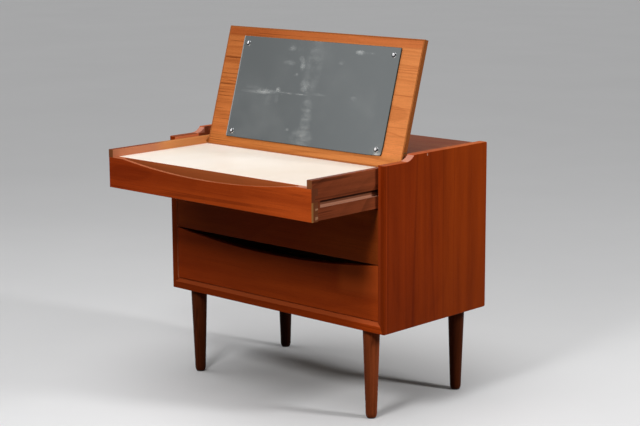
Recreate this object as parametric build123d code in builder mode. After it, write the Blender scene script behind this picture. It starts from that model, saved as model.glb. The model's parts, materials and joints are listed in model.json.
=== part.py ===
from build123d import *

import os
from math import cos, radians, sin

# A free-standing dressing chest: a case of panels on four turned legs, two
# storage drawers, and a top drawer whose dressing board lies under a hinged
# lid.  The lid carries the mirror on its underside; here it stands open,
# leaning on the front edge of the fixed top, with the top drawer drawn out.
#
# Millimetres, +Z up, front towards -Y.  The origin is on the floor under the
# middle of the whole footprint, top drawer drawn out.  Each piece is built in
# place.  Left and right are as seen by somebody standing in front of it.

# ---- Case -------------------------------------------------------------------
case_width = 760.0
case_depth = 394.0
leg_height = 228.0          # floor to the underside of the case
case_top = 656.0            # top of the side panels behind the step
step_height = 15.0          # the side panels are this much lower in front
step_start = 78.0           # where the step's curve leaves the lower edge
step_end = 110.0            # where it meets the upper edge
panel = 21.0                # side and bottom panels
upright_round = 5.0         # upright outer edges of the case, in front
arris = 1.5                 # its other outer edges
rear_top_round = 4.0        # rear corners of the side panels, seen from the side
rear_foot_round = 5.0
side_bevel_width = 9.0      # shallow bevel down the inner part of the edges
side_bevel_depth = 1.2

rail_depth = 22.0           # front rail under the lowest drawer
rail_height = 28.0
rail_bevel_height = 10.0
rail_bevel_depth = 5.0

top_thickness = 13.0
top_drop = 6.0              # fixed top lies this much below the side panels
top_edge_round = 3.0
back_thickness = 6.0
back_rebate = 8.0
back_clearance = 0.5
back_screw_radius = 1.75
back_screw_head = 3.4
back_screw_length = 20.0
top_dowel_radius = 3.0
bottom_dowel_radius = 4.0
dowel_half_length = 14.0

# ---- Legs -------------------------------------------------------------------
leg_spread = 310.0          # centre line to leg axis
leg_front_inset = 32.6
leg_rear_inset = 30.6
leg_top_radius = 21.5
leg_foot_radius = 14.2
leg_toe_radius = 12.0
leg_toe_height = 13.0
glide_radius = 11.0
glide_height = 3.0
glide_nail_radius = 1.5
glide_nail_length = 12.0
bolt_radius = 4.0
bolt_in_leg = 38.0
bolt_in_panel = 17.0
fit_gap = 0.05              # radial clearance of bolts, dowels and pins

# ---- Drawers ----------------------------------------------------------------
drawer_half_width = 358.0
front_recess = 2.5          # closed fronts stand this much behind the case edge
front_thickness = 20.0
side_thickness = 15.0
front_lap = 12.0            # wood of a front left in front of the dovetails
drawer_length = 360.0
back_rail_thickness = 12.5
bottom_thickness = 5.0
bottom_groove = 5.0
bottom_lift = 8.0           # lower edge of the sides to the drawer bottom
side_lift = 8.0             # lower edge of a front to the sides
side_over_arc = 4.0         # sides stand this much above the arc's lowest point
back_rail_drop = 6.0        # back below the sides
first_tail = 26.0           # lower edge of a side to its first dovetail
tail_pitch = 30.0
tail_half_height = 7.0
front_edge_round = 1.5
groove_height = 16.0        # runner groove in the drawer sides
groove_depth = 8.0
groove_start = 28.0         # front face to the groove's closed end
runner_height = 15.2
runner_width = 8.0
runner_end_gap = 1.0
runner_lift = 68.0          # lower edge of a storage front to the runner's middle
runner_screw_radius = 2.0
runner_screw_head = 3.6
runner_screw_length = 16.0

lower_front_bottom = 257.5
lower_front_top = 395.5
middle_front_bottom = 397.5
middle_front_top = 533.5
pull_depth = 23.5           # finger arc in the upper edge of a storage front
pull_half_span = 352.0

# ---- Top drawer, drawn out --------------------------------------------------
drawn_out = 229.5           # from closed to the place where the lid can stand
vanity_bottom = 535.0
vanity_top = 613.5          # front panel and dressing board
rim_top = 633.5
vanity_front_thickness = 21.0
vanity_side_lift = 2.0
vanity_groove_top = 583.0
lip_thickness = 8.0
pocket_width = 9.5
pocket_extra_depth = 9.0
lip_dip = 21.5
lip_half_span = 305.0
board_thickness = 12.0
board_rear_gap = 17.0       # slot behind the board for the lid's lower edge
ledge_size = 10.0
vanity_tail_levels = [546.0, 568.0, 590.0]
vanity_tail_half_height = 5.0

# ---- Lid and mirror ---------------------------------------------------------
lid_half_width = 340.3
lid_length = 323.9
lid_thickness = 13.0
lid_lean = 16.5             # degrees back from upright
lid_tail = 7.0              # lid below the pivot axis
lid_rest_gap = 0.3          # lid to the edge it leans towards
lipping = 4.0
mirror_half_width = 275.0
mirror_height = 272.5
mirror_rise = 0.5           # middle of the mirror above the middle of the lid
mirror_thickness = 4.0
mirror_hole_radius = 2.6
mirror_screw_end_inset = 19.7
mirror_screw_top_inset = 19.9
mirror_screw_bottom_inset = 15.4
mirror_screw_radius = 7.0
mirror_screw_rise = 2.6
mirror_screw_shank = 2.0
mirror_screw_depth = 8.0
pivot_radius = 2.5
pivot_plate_thickness = 2.0
pivot_plate_boss = 5.0
pivot_plate_length = 42.0
pivot_pin_reach = 8.7
bush_radius = 4.5
bush_length = 8.0
pivot_screw_radius = 1.5
pivot_screw_head = 2.6
pivot_screw_length = 16.0

# ---- Derived places ---------------------------------------------------------
half_width = case_width / 2
inner_half = half_width - panel
reach = drawn_out - front_recess          # top drawer's front, ahead of the case
front_y = (reach - case_depth) / 2        # front plane of the case
rear_y = front_y + case_depth
back_y = rear_y - back_thickness
step_z = case_top - step_height
case_floor = leg_height + panel
rail_top = leg_height + rail_height
top_surface = case_top - top_drop
top_underside = top_surface - top_thickness
closed_y = front_y + front_recess         # front plane of the closed drawers
vanity_y = closed_y - drawn_out
side_inner = drawer_half_width - side_thickness
board_front_y = vanity_y + vanity_front_thickness
vanity_rear_y = vanity_y + drawer_length
rail_face_y = vanity_rear_y - back_rail_thickness
board_rear_y = rail_face_y - board_rear_gap

# The pivot axis lies on the lid's mirror face.  The lid's lower edge clears
# the board by a little, and the whole lid closes between the rims.
lean_sin = sin(radians(lid_lean))
lean_cos = cos(radians(lid_lean))
pivot_z = rim_top - lid_thickness
pivot_y = board_rear_y + 1.3
lid_plane = Plane(origin=(0, pivot_y, pivot_z), x_dir=(1, 0, 0), z_dir=(0, -lean_cos, lean_sin))

# The fixed top's rounded front edge stands just behind the leaning lid: the
# distance of its edge centre from the lid's back face is the edge radius and
# the rest gap.
edge_centre_z = top_surface - top_edge_round
edge_centre_offset = lid_thickness + lid_rest_gap + top_edge_round
edge_centre_y = pivot_y + (edge_centre_offset + (edge_centre_z - pivot_z) * lean_sin) / lean_cos
top_front_y = edge_centre_y - top_edge_round

os.makedirs("parts", exist_ok=True)


def finish(piece, name):
    """Label a finished piece and write its STEP file."""
    piece.part.label = name
    export_step(piece.part, "parts/" + name + ".step")


def side_plane(x):
    """Sketch plane at a given x: local x is +Y, local y is +Z, normal +X."""
    return Plane.YZ.offset(x)


def front_plane(y):
    """Sketch plane at a given y: local x is +X, local y is +Z, normal -Y."""
    return Plane.XZ.offset(-y)


def box_between(low, high, mode=Mode.ADD):
    """A plain block from its lowest corner to its highest corner."""
    size = [top - bottom for bottom, top in zip(low, high)]
    with Locations([low]):
        Box(*size, align=(Align.MIN, Align.MIN, Align.MIN), mode=mode)


def rod_along_x(x_from, x_to, y, z, radius, mode=Mode.ADD):
    """A round rod or hole parallel to X."""
    with BuildSketch(side_plane(x_from)) as section:
        with Locations((y, z)):
            Circle(radius)
    extrude(section.sketch, amount=x_to - x_from, mode=mode)


# ---- Case panels ------------------------------------------------------------
top_dowel_ys = [top_front_y + 30, (top_front_y + rear_y) / 2, rear_y - 30]
bottom_dowel_ys = [front_y + 70, (front_y + rear_y) / 2, rear_y - 60]
top_dowel_z = top_surface - top_thickness / 2
bottom_dowel_z = leg_height + panel / 2
runner_levels = {}          # runner centre heights, filled in below
runner_levels["vanity"] = vanity_groove_top - groove_height / 2
runner_levels["middle"] = middle_front_bottom + runner_lift
runner_levels["lower"] = lower_front_bottom + runner_lift
runner_front_y = closed_y + groove_start + runner_end_gap
runner_rear_y = back_y - 6.0
runner_screw_ys = [runner_front_y + 20, (runner_front_y + runner_rear_y) / 2, runner_rear_y - 20]
back_screw_x = inner_half + back_rebate / 2
back_screw_zs = [leg_height + 45 + 82 * step for step in range(5)]
back_screw_places = [(side * back_screw_x, z) for side in (-1, 1) for z in back_screw_zs]
back_screw_places += [(x, bottom_dowel_z) for x in (-270, -90, 90, 270)]


def rail_outline():
    """End-to-end outline of the front rail, mitred into both side panels."""
    bevel_foot = rail_height - rail_bevel_height
    right = [
        (half_width - upright_round - 1, leg_height),
        (inner_half + side_bevel_width, leg_height + bevel_foot),
        (inner_half, rail_top),
    ]
    left = [(-x, z) for x, z in reversed(right)]
    with BuildSketch(front_plane(front_y)) as outline:
        with BuildLine():
            Polyline(*right, *left, close=True)
        make_face()
    return outline.sketch


def dowel_holes(side):
    """Blind holes for the dowels of the fixed top and the bottom panel."""
    start = side * (inner_half - 1)
    end = side * (inner_half + dowel_half_length)
    for y in top_dowel_ys:
        rod_along_x(start, end, y, top_dowel_z, top_dowel_radius + fit_gap, Mode.SUBTRACT)
    for y in bottom_dowel_ys:
        rod_along_x(start, end, y, bottom_dowel_z, bottom_dowel_radius + fit_gap, Mode.SUBTRACT)


def back_screws(radius, head, mode):
    """Countersunk screws through the back panel, or their holes: heads flush with its rear face."""
    with BuildSketch(front_plane(rear_y)) as heads:
        with Locations(*back_screw_places):
            Circle(head)
    extrude(heads.sketch, amount=head - radius, taper=45, mode=mode)
    with BuildSketch(front_plane(rear_y)) as shanks:
        with Locations(*back_screw_places):
            Circle(radius)
    extrude(shanks.sketch, amount=back_screw_length, mode=mode)


def runner_screw_holes(side):
    """Pilot holes for the runner screws."""
    start = side * (inner_half - 1)
    end = side * (inner_half - runner_width + runner_screw_length)
    for z in runner_levels.values():
        for y in runner_screw_ys:
            rod_along_x(start, end, y, z, runner_screw_radius + fit_gap, Mode.SUBTRACT)


def make_side_panel(name, side):
    """Side of the case: stepped top, rounded outer edges, bevelled inner front edge."""
    with BuildPart() as side_panel:
        with BuildSketch(side_plane(side * inner_half)):
            with BuildLine():
                Polyline(
                    (rear_y - rear_foot_round, leg_height), (front_y, leg_height), (front_y, step_z),
                    (front_y + step_start, step_z),
                )
                TangentArc(
                    (front_y + step_start, step_z), (front_y + step_end, case_top), tangent=(1, 0)
                )
                Line((front_y + step_end, case_top), (rear_y - rear_top_round, case_top))
                RadiusArc(
                    (rear_y - rear_top_round, case_top),
                    (rear_y, case_top - rear_top_round), rear_top_round,
                )
                Line((rear_y, case_top - rear_top_round), (rear_y, leg_height + rear_foot_round))
                RadiusArc(
                    (rear_y, leg_height + rear_foot_round),
                    (rear_y - rear_foot_round, leg_height), rear_foot_round,
                )
            make_face()
        extrude(amount=side * panel)
        outer_side = -1 if side > 0 else 0
        upright = side_panel.faces().sort_by(Axis.X)[outer_side].edges().sort_by(Axis.Y)[0]
        fillet(upright, radius=upright_round)
        outer_edges = side_panel.faces().sort_by(Axis.X)[outer_side].edges()
        behind = outer_edges.filter_by(lambda e: e.center().Y > front_y + upright_round + 1)
        fillet(behind.filter_by(lambda e: e.center().Z > leg_height + 1), radius=arris)
        extrude(rail_outline(), amount=-rail_depth, mode=Mode.SUBTRACT)
        with BuildSketch(Plane.XY.offset(leg_height)):
            with BuildLine():
                Polyline(
                    (side * inner_half, front_y),
                    (side * (inner_half + side_bevel_width), front_y),
                    (side * inner_half, front_y + side_bevel_depth),
                    close=True,
                )
            make_face()
        extrude(amount=case_top - leg_height, mode=Mode.SUBTRACT)
        rebate = sorted([side * (inner_half - 1), side * (inner_half + back_rebate)])
        box_between(
            (rebate[0], back_y, leg_height - 1), (rebate[1], rear_y + 1, top_underside),
            Mode.SUBTRACT,
        )
        dowel_holes(side)
        runner_screw_holes(side)
        back_screws(back_screw_radius + fit_gap, back_screw_head, Mode.SUBTRACT)
    finish(side_panel, name)


make_side_panel("left_side_panel", -1)
make_side_panel("right_side_panel", 1)

with BuildPart() as front_rail:
    extrude(rail_outline(), amount=-rail_depth)
    lower_edge = front_rail.edges().filter_by(Axis.X).group_by(Axis.Z)[0].sort_by(Axis.Y)[0]
    fillet(lower_edge, radius=arris)
    with BuildSketch(side_plane(-half_width)):
        with BuildLine():
            Polyline(
                (front_y, rail_top - rail_bevel_height),
                (front_y, rail_top),
                (front_y + rail_bevel_depth, rail_top),
                close=True,
            )
        make_face()
    extrude(amount=case_width, mode=Mode.SUBTRACT)
finish(front_rail, "front_rail")

leg_places = {
    "front_left": (-leg_spread, front_y + leg_front_inset),
    "front_right": (leg_spread, front_y + leg_front_inset),
    "rear_left": (-leg_spread, rear_y - leg_rear_inset),
    "rear_right": (leg_spread, rear_y - leg_rear_inset),
}

with BuildPart() as bottom_panel:
    box_between(
        (-inner_half, front_y + rail_depth, leg_height), (inner_half, back_y, case_floor)
    )
    with BuildSketch(Plane.XY.offset(leg_height)):
        with Locations(*leg_places.values()):
            Circle(bolt_radius + fit_gap)
    extrude(amount=bolt_in_panel, mode=Mode.SUBTRACT)
    for side in (-1, 1):
        for y in bottom_dowel_ys:
            rod_along_x(
                side * (inner_half - dowel_half_length), side * (inner_half + 1),
                y, bottom_dowel_z, bottom_dowel_radius + fit_gap, Mode.SUBTRACT,
            )
    back_screws(back_screw_radius + fit_gap, back_screw_head, Mode.SUBTRACT)
finish(bottom_panel, "bottom_panel")

with BuildPart() as fixed_top:
    box_between((-inner_half, top_front_y, top_underside), (inner_half, rear_y, top_surface))
    front_edges = fixed_top.edges().filter_by(Axis.X).group_by(Axis.Y)[0]
    fillet(front_edges, radius=top_edge_round)
    for side in (-1, 1):
        for y in top_dowel_ys:
            rod_along_x(
                side * (inner_half - dowel_half_length), side * (inner_half + 1),
                y, top_dowel_z, top_dowel_radius + fit_gap, Mode.SUBTRACT,
            )
finish(fixed_top, "fixed_top")

back_half_width = inner_half + back_rebate - back_clearance

with BuildPart() as back_panel:
    box_between(
        (-back_half_width, back_y, leg_height), (back_half_width, rear_y, top_underside - back_clearance)
    )
    lower_edges = back_panel.edges().filter_by(Axis.X).group_by(Axis.Z)[0]
    fillet(lower_edges.sort_by(Axis.Y)[-1], radius=rear_foot_round)
    back_screws(back_screw_radius + fit_gap, back_screw_head, Mode.SUBTRACT)
finish(back_panel, "back_panel")

with BuildPart() as back_panel_screws:
    back_screws(back_screw_radius, back_screw_head - fit_gap, Mode.ADD)
finish(back_panel_screws, "back_panel_screws")

with BuildPart() as top_dowels:
    for side in (-1, 1):
        for y in top_dowel_ys:
            rod_along_x(
                side * (inner_half - dowel_half_length), side * (inner_half + dowel_half_length),
                y, top_dowel_z, top_dowel_radius,
            )
finish(top_dowels, "top_dowels")

with BuildPart() as bottom_dowels:
    for side in (-1, 1):
        for y in bottom_dowel_ys:
            rod_along_x(
                side * (inner_half - dowel_half_length), side * (inner_half + dowel_half_length),
                y, bottom_dowel_z, bottom_dowel_radius,
            )
finish(bottom_dowels, "bottom_dowels")


# ---- Drawer runners ---------------------------------------------------------
def countersunk_along_x(x_head, side, y, z, radius, head, length, mode):
    """A countersunk screw, or its hole: head flush at x_head, pointing to `side`."""
    head_depth = head - radius
    with BuildSketch(side_plane(x_head)) as head_face:
        with Locations((y, z)):
            Circle(head)
    extrude(head_face.sketch, amount=side * head_depth, taper=45, mode=mode)
    rod_along_x(x_head, x_head + side * length, y, z, radius, mode)


def make_runner(name, side, level):
    """A hardwood strip screwed to the case side, for a groove in a drawer side."""
    face = inner_half - runner_width
    low_x = min(side * face, side * inner_half)
    with BuildPart() as runner:
        box_between(
            (low_x, runner_front_y, level - runner_height / 2),
            (low_x + runner_width, runner_rear_y, level + runner_height / 2),
        )
        fillet(runner.edges().filter_by(Axis.Z), radius=1.5)
        for y in runner_screw_ys:
            countersunk_along_x(
                side * face, side, y, level, runner_screw_radius + fit_gap,
                runner_screw_head, runner_width + 1, Mode.SUBTRACT,
            )
    finish(runner, name)


for level_name, level in runner_levels.items():
    make_runner("left_" + level_name + "_runner", -1, level)
    make_runner("right_" + level_name + "_runner", 1, level)

with BuildPart() as runner_screws:
    for side in (-1, 1):
        for level in runner_levels.values():
            for y in runner_screw_ys:
                countersunk_along_x(
                    side * (inner_half - runner_width), side, y, level, runner_screw_radius,
                    runner_screw_head - fit_gap, runner_screw_length, Mode.ADD,
                )
finish(runner_screws, "runner_screws")


# ---- Legs -------------------------------------------------------------------
def make_leg(name, place):
    """A turned leg, tapered to the foot, bored for its bolt and for the glide's nail."""
    foot = Vector(place[0], place[1], 0)
    with BuildPart() as leg:
        with BuildSketch(Plane(origin=foot, x_dir=(1, 0, 0), z_dir=(0, -1, 0))):
            with BuildLine():
                Polyline((leg_toe_radius, glide_height), (0, glide_height), (0, leg_height),
                         (leg_top_radius, leg_height), (leg_foot_radius, leg_toe_height))
                TangentArc(
                    (leg_foot_radius, leg_toe_height), (leg_toe_radius, glide_height),
                    tangent=(leg_foot_radius - leg_top_radius, leg_toe_height - leg_height),
                )
            make_face()
        revolve(axis=Axis(foot, (0, 0, 1)))
        with BuildSketch(Plane.XY.offset(leg_height)):
            with Locations(place):
                Circle(bolt_radius + fit_gap)
        extrude(amount=-bolt_in_leg, mode=Mode.SUBTRACT)
        with BuildSketch(Plane.XY.offset(glide_height)):
            with Locations(place):
                Circle(glide_nail_radius + fit_gap)
        extrude(amount=glide_nail_length, mode=Mode.SUBTRACT)
    finish(leg, name)


for corner, place in leg_places.items():
    make_leg(corner + "_leg", place)

with BuildPart() as leg_bolts:
    with BuildSketch(Plane.XY.offset(leg_height - bolt_in_leg)):
        with Locations(*leg_places.values()):
            Circle(bolt_radius)
    extrude(amount=bolt_in_leg + bolt_in_panel)
finish(leg_bolts, "leg_bolts")

with BuildPart() as leg_glides:
    with BuildSketch(Plane.XY):
        with Locations(*leg_places.values()):
            Circle(glide_radius)
    extrude(amount=glide_height)
    fillet(leg_glides.edges().group_by(Axis.Z)[0], radius=1.0)
    with BuildSketch(Plane.XY.offset(glide_height)):
        with Locations(*leg_places.values()):
            Circle(glide_nail_radius)
    extrude(amount=glide_nail_length)
finish(leg_glides, "leg_glides")


# ---- Shared drawer details --------------------------------------------------
def area_over_arc(y, half_span, dip, top, drop=0.0):
    """Face in the front plane at y: above a shallow arc and up past the edge."""
    ends = top - drop
    above = top + 5
    with BuildSketch(front_plane(y)) as area:
        with BuildLine():
            ThreePointArc((-half_span, ends), (0, ends - dip), (half_span, ends))
            Polyline((half_span, ends), (half_span, above), (-half_span, above), (-half_span, ends))
        make_face()
    return area.sketch


def tails(side, tail_y, depth, levels, half_height, mode):
    """Dovetails of one drawer side, wider towards the front, or their sockets in the front."""
    splay = depth / 5
    with BuildSketch(side_plane(side * side_inner)) as outlines:
        for z in levels:
            with BuildLine():
                Polyline(
                    (tail_y, z - half_height), (tail_y, z + half_height),
                    (tail_y - depth, z + half_height + splay),
                    (tail_y - depth, z - half_height - splay), close=True,
                )
            make_face()
    extrude(outlines.sketch, amount=side * side_thickness, mode=mode)


def runner_groove(side, front, rear, level):
    """Groove in the outer face of a drawer side, open at its rear end."""
    low_x = min(side * drawer_half_width, side * (drawer_half_width - groove_depth))
    box_between(
        (low_x, front + groove_start, level - groove_height / 2),
        (low_x + groove_depth, rear + 1, level + groove_height / 2), Mode.SUBTRACT,
    )


# ---- Storage drawers --------------------------------------------------------
def make_storage_drawer(name, bottom, top):
    """One storage drawer: front with a finger arc, dovetailed sides, back and bottom."""
    side_bottom = bottom + side_lift
    side_top = top - pull_depth + side_over_arc
    tail_levels = [side_bottom + first_tail + tail_pitch * step for step in range(3)]
    panel_z = side_bottom + bottom_lift
    socket_y = closed_y + front_thickness
    socket_depth = front_thickness - front_lap
    rear = closed_y + drawer_length
    with BuildPart() as drawer_front:
        box_between((-drawer_half_width, closed_y, bottom), (drawer_half_width, socket_y, top))
        scoop = area_over_arc(closed_y - 1, pull_half_span, pull_depth, top)
        extrude(scoop, amount=-front_thickness - 2, mode=Mode.SUBTRACT)
        front_face = drawer_front.faces().sort_by(Axis.Y)[0]
        fillet(front_face.edges(), radius=front_edge_round)
        for side in (-1, 1):
            tails(side, socket_y, socket_depth, tail_levels, tail_half_height, Mode.SUBTRACT)
        box_between(
            (-side_inner, socket_y - bottom_groove, panel_z),
            (side_inner, socket_y + 1, panel_z + bottom_thickness), Mode.SUBTRACT,
        )
    finish(drawer_front, name + "_drawer_front")

    for side, side_name in ((-1, "left"), (1, "right")):
        low_x = min(side * side_inner, side * drawer_half_width)
        with BuildPart() as drawer_side:
            box_between((low_x, socket_y, side_bottom), (low_x + side_thickness, rear, side_top))
            tails(side, socket_y, socket_depth, tail_levels, tail_half_height, Mode.ADD)
            runner_groove(side, closed_y, rear, runner_levels[name])
            groove_x = min(side * side_inner, side * (side_inner + bottom_groove))
            box_between(
                (groove_x, socket_y - socket_depth, panel_z),
                (groove_x + bottom_groove, rear + 1, panel_z + bottom_thickness), Mode.SUBTRACT,
            )
        finish(drawer_side, name + "_drawer_" + side_name + "_side")

    with BuildPart() as drawer_back:
        box_between(
            (-side_inner, rear - back_rail_thickness, panel_z + bottom_thickness),
            (side_inner, rear, side_top - back_rail_drop),
        )
    finish(drawer_back, name + "_drawer_back")

    with BuildPart() as drawer_bottom:
        box_between(
            (-side_inner - bottom_groove, socket_y, panel_z),
            (side_inner + bottom_groove, rear, panel_z + bottom_thickness),
        )
        box_between(
            (-side_inner, socket_y - bottom_groove, panel_z),
            (side_inner, socket_y, panel_z + bottom_thickness),
        )
    finish(drawer_bottom, name + "_drawer_bottom")


make_storage_drawer("lower", lower_front_bottom, lower_front_top)
make_storage_drawer("middle", middle_front_bottom, middle_front_top)

# ---- Top drawer -------------------------------------------------------------
vanity_socket_depth = vanity_front_thickness - front_lap
vanity_side_bottom = vanity_bottom + vanity_side_lift

with BuildPart() as vanity_drawer_front:
    box_between(
        (-drawer_half_width, vanity_y, vanity_bottom), (drawer_half_width, board_front_y, vanity_top)
    )
    lip_scoop = area_over_arc(vanity_y - 1, lip_half_span, lip_dip, vanity_top)
    extrude(lip_scoop, amount=-lip_thickness - 1, mode=Mode.SUBTRACT)
    pocket = area_over_arc(
        vanity_y + lip_thickness, lip_half_span, lip_dip, vanity_top, pocket_extra_depth
    )
    extrude(pocket, amount=-pocket_width, mode=Mode.SUBTRACT)
    front_face = vanity_drawer_front.faces().sort_by(Axis.Y)[0]
    fillet(front_face.edges(), radius=1.0)
    for side in (-1, 1):
        tails(side, board_front_y, vanity_socket_depth, vanity_tail_levels,
              vanity_tail_half_height, Mode.SUBTRACT)
finish(vanity_drawer_front, "vanity_drawer_front")


def make_vanity_side(name, side):
    """Side of the top drawer: its raised rim runs over the end of the front."""
    low_x = min(side * side_inner, side * drawer_half_width)
    with BuildPart() as vanity_side:
        box_between(
            (low_x, board_front_y, vanity_side_bottom), (low_x + side_thickness, vanity_rear_y, rim_top)
        )
        box_between((low_x, vanity_y, vanity_top), (low_x + side_thickness, board_front_y, rim_top))
        fillet(vanity_side.edges().filter_by(Axis.Y).group_by(Axis.Z)[-1], radius=1.0)
        tails(side, board_front_y, vanity_socket_depth, vanity_tail_levels,
              vanity_tail_half_height, Mode.ADD)
        runner_groove(side, vanity_y, vanity_rear_y, runner_levels["vanity"])
        rod_along_x(
            side * (side_inner - 1), side * (side_inner + bush_length + 1),
            pivot_y, pivot_z, bush_radius + fit_gap, Mode.SUBTRACT,
        )
    finish(vanity_side, name)


make_vanity_side("vanity_drawer_left_side", -1)
make_vanity_side("vanity_drawer_right_side", 1)

with BuildPart() as vanity_drawer_back:
    box_between(
        (-side_inner, rail_face_y, vanity_side_bottom), (side_inner, vanity_rear_y, vanity_top)
    )
finish(vanity_drawer_back, "vanity_drawer_back")

with BuildPart() as dressing_board:
    box_between(
        (-side_inner, board_front_y, vanity_top - board_thickness),
        (side_inner, board_rear_y, vanity_top),
    )
    fillet(dressing_board.edges().filter_by(Axis.X).group_by(Axis.Y)[-1], radius=0.8)
finish(dressing_board, "dressing_board")

with BuildPart() as board_ledges:
    ledge_top = vanity_top - board_thickness
    for low_x in (-side_inner, side_inner - ledge_size):
        box_between(
            (low_x, board_front_y, ledge_top - ledge_size),
            (low_x + ledge_size, board_rear_y, ledge_top),
        )
finish(board_ledges, "board_ledges")

with BuildPart() as pivot_bushes:
    for side in (-1, 1):
        rod_along_x(side * side_inner, side * (side_inner + bush_length), pivot_y, pivot_z, bush_radius)
        rod_along_x(
            side * (side_inner - 1), side * (side_inner + bush_length + 1),
            pivot_y, pivot_z, pivot_radius + fit_gap, Mode.SUBTRACT,
        )
finish(pivot_bushes, "pivot_bushes")

# ---- Lid, standing ----------------------------------------------------------
# Sketched in the lid's own plane: local x along the lid, local y up it from the
# pivot axis, local z out of the mirror face.
lid_middle_y = lid_length / 2 - lid_tail
mirror_middle_y = lid_middle_y + mirror_rise
screw_x = mirror_half_width - mirror_screw_end_inset
screw_ys = [
    mirror_middle_y - mirror_height / 2 + mirror_screw_bottom_inset,
    mirror_middle_y + mirror_height / 2 - mirror_screw_top_inset,
]
mirror_screw_places = [(side * screw_x, y) for side in (-1, 1) for y in screw_ys]
pivot_screw_ys = [14.0, 32.0]


def lid_end_plane(x):
    """Plane across the lid at a given x: local x up the lid, local y out of the mirror face."""
    return Plane(origin=(x, pivot_y, pivot_z), x_dir=(0, lean_sin, lean_cos), z_dir=(1, 0, 0))


def pivot_screws_at(side, radius, head, mode):
    """The two countersunk screws of one pivot plate, or their holes."""
    start = lid_half_width + pivot_plate_thickness
    with BuildSketch(lid_end_plane(side * start)) as heads:
        with Locations(*[(y, -lid_thickness / 2) for y in pivot_screw_ys]):
            Circle(head)
    extrude(heads.sketch, amount=-side * (head - radius), taper=45, mode=mode)
    with BuildSketch(lid_end_plane(side * start)) as shanks:
        with Locations(*[(y, -lid_thickness / 2) for y in pivot_screw_ys]):
            Circle(radius)
    extrude(shanks.sketch, amount=-side * pivot_screw_length, mode=mode)


with BuildPart() as lid_panel:
    with BuildSketch(lid_plane):
        with Locations((0, lid_middle_y)):
            Rectangle(2 * (lid_half_width - lipping), lid_length - 2 * lipping)
    extrude(amount=-lid_thickness)
    with BuildSketch(lid_plane):
        with Locations(*mirror_screw_places):
            Circle(mirror_screw_shank + fit_gap)
    extrude(amount=-mirror_screw_depth, mode=Mode.SUBTRACT)
    for side in (-1, 1):
        pivot_screws_at(side, pivot_screw_radius + fit_gap, pivot_screw_head, Mode.SUBTRACT)
finish(lid_panel, "lid_panel")

with BuildPart() as lid_lipping:
    with BuildSketch(lid_plane):
        with Locations((0, lid_middle_y)):
            Rectangle(2 * lid_half_width, lid_length)
    extrude(amount=-lid_thickness)
    long_edges = lid_lipping.edges().filter_by(Axis.X)
    fillet(long_edges, radius=0.8)
    with BuildSketch(lid_plane):
        with Locations((0, lid_middle_y)):
            Rectangle(2 * (lid_half_width - lipping), lid_length - 2 * lipping)
    extrude(amount=-lid_thickness, mode=Mode.SUBTRACT)
    for side in (-1, 1):
        pivot_screws_at(side, pivot_screw_radius + fit_gap, pivot_screw_head, Mode.SUBTRACT)
finish(lid_lipping, "lid_lipping")

# A screw head is a cap of a sphere, whose radius follows from its width and rise.
dome_radius = (mirror_screw_radius**2 + mirror_screw_rise**2) / (2 * mirror_screw_rise)

with BuildPart() as mirror_glass:
    with BuildSketch(lid_plane):
        with Locations((0, mirror_middle_y)):
            Rectangle(2 * mirror_half_width, mirror_height)
        with Locations(*mirror_screw_places):
            Circle(mirror_hole_radius, mode=Mode.SUBTRACT)
    extrude(amount=mirror_thickness)
    rim_edges = mirror_glass.faces().sort_by(Axis.Y)[0].outer_wire().edges()
    chamfer(rim_edges, length=0.5)
finish(mirror_glass, "mirror_glass")

with BuildPart() as mirror_screws:
    for x, y in mirror_screw_places:
        centre = lid_plane.from_local_coords((x, y, mirror_thickness))
        section = Plane(origin=centre, x_dir=(1, 0, 0), z_dir=-lid_plane.y_dir)
        shank_end = -mirror_thickness - mirror_screw_depth
        with BuildSketch(section):
            with BuildLine():
                Polyline((0, mirror_screw_rise), (0, shank_end), (mirror_screw_shank, shank_end),
                         (mirror_screw_shank, 0), (mirror_screw_radius, 0))
                RadiusArc((mirror_screw_radius, 0), (0, mirror_screw_rise), -dome_radius)
            make_face()
        revolve(axis=Axis(centre, lid_plane.z_dir))
finish(mirror_screws, "mirror_screws")


def make_pivot_plate(name, side):
    """Brass plate on the end of the lid, with the pin that turns in the drawer side."""
    face = lid_end_plane(side * lid_half_width)
    with BuildPart() as pivot_plate:
        with BuildSketch(face):
            Circle(pivot_plate_boss)
            with Locations((pivot_plate_length / 2 - 4, -lid_thickness / 2)):
                Rectangle(pivot_plate_length, lid_thickness - 3)
        extrude(amount=side * pivot_plate_thickness)
        with BuildSketch(face):
            Circle(pivot_radius)
        extrude(amount=side * (pivot_plate_thickness + pivot_pin_reach))
        pivot_screws_at(side, pivot_screw_radius + fit_gap, pivot_screw_head, Mode.SUBTRACT)
    finish(pivot_plate, name)


make_pivot_plate("left_pivot_plate", -1)
make_pivot_plate("right_pivot_plate", 1)

with BuildPart() as pivot_screws:
    for side in (-1, 1):
        pivot_screws_at(side, pivot_screw_radius, pivot_screw_head - fit_gap, Mode.ADD)
finish(pivot_screws, "pivot_screws")
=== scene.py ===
import json
from math import cos, pi, radians, sin

import bmesh
import bpy
import numpy as np
from mathutils import Matrix, Vector


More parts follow.
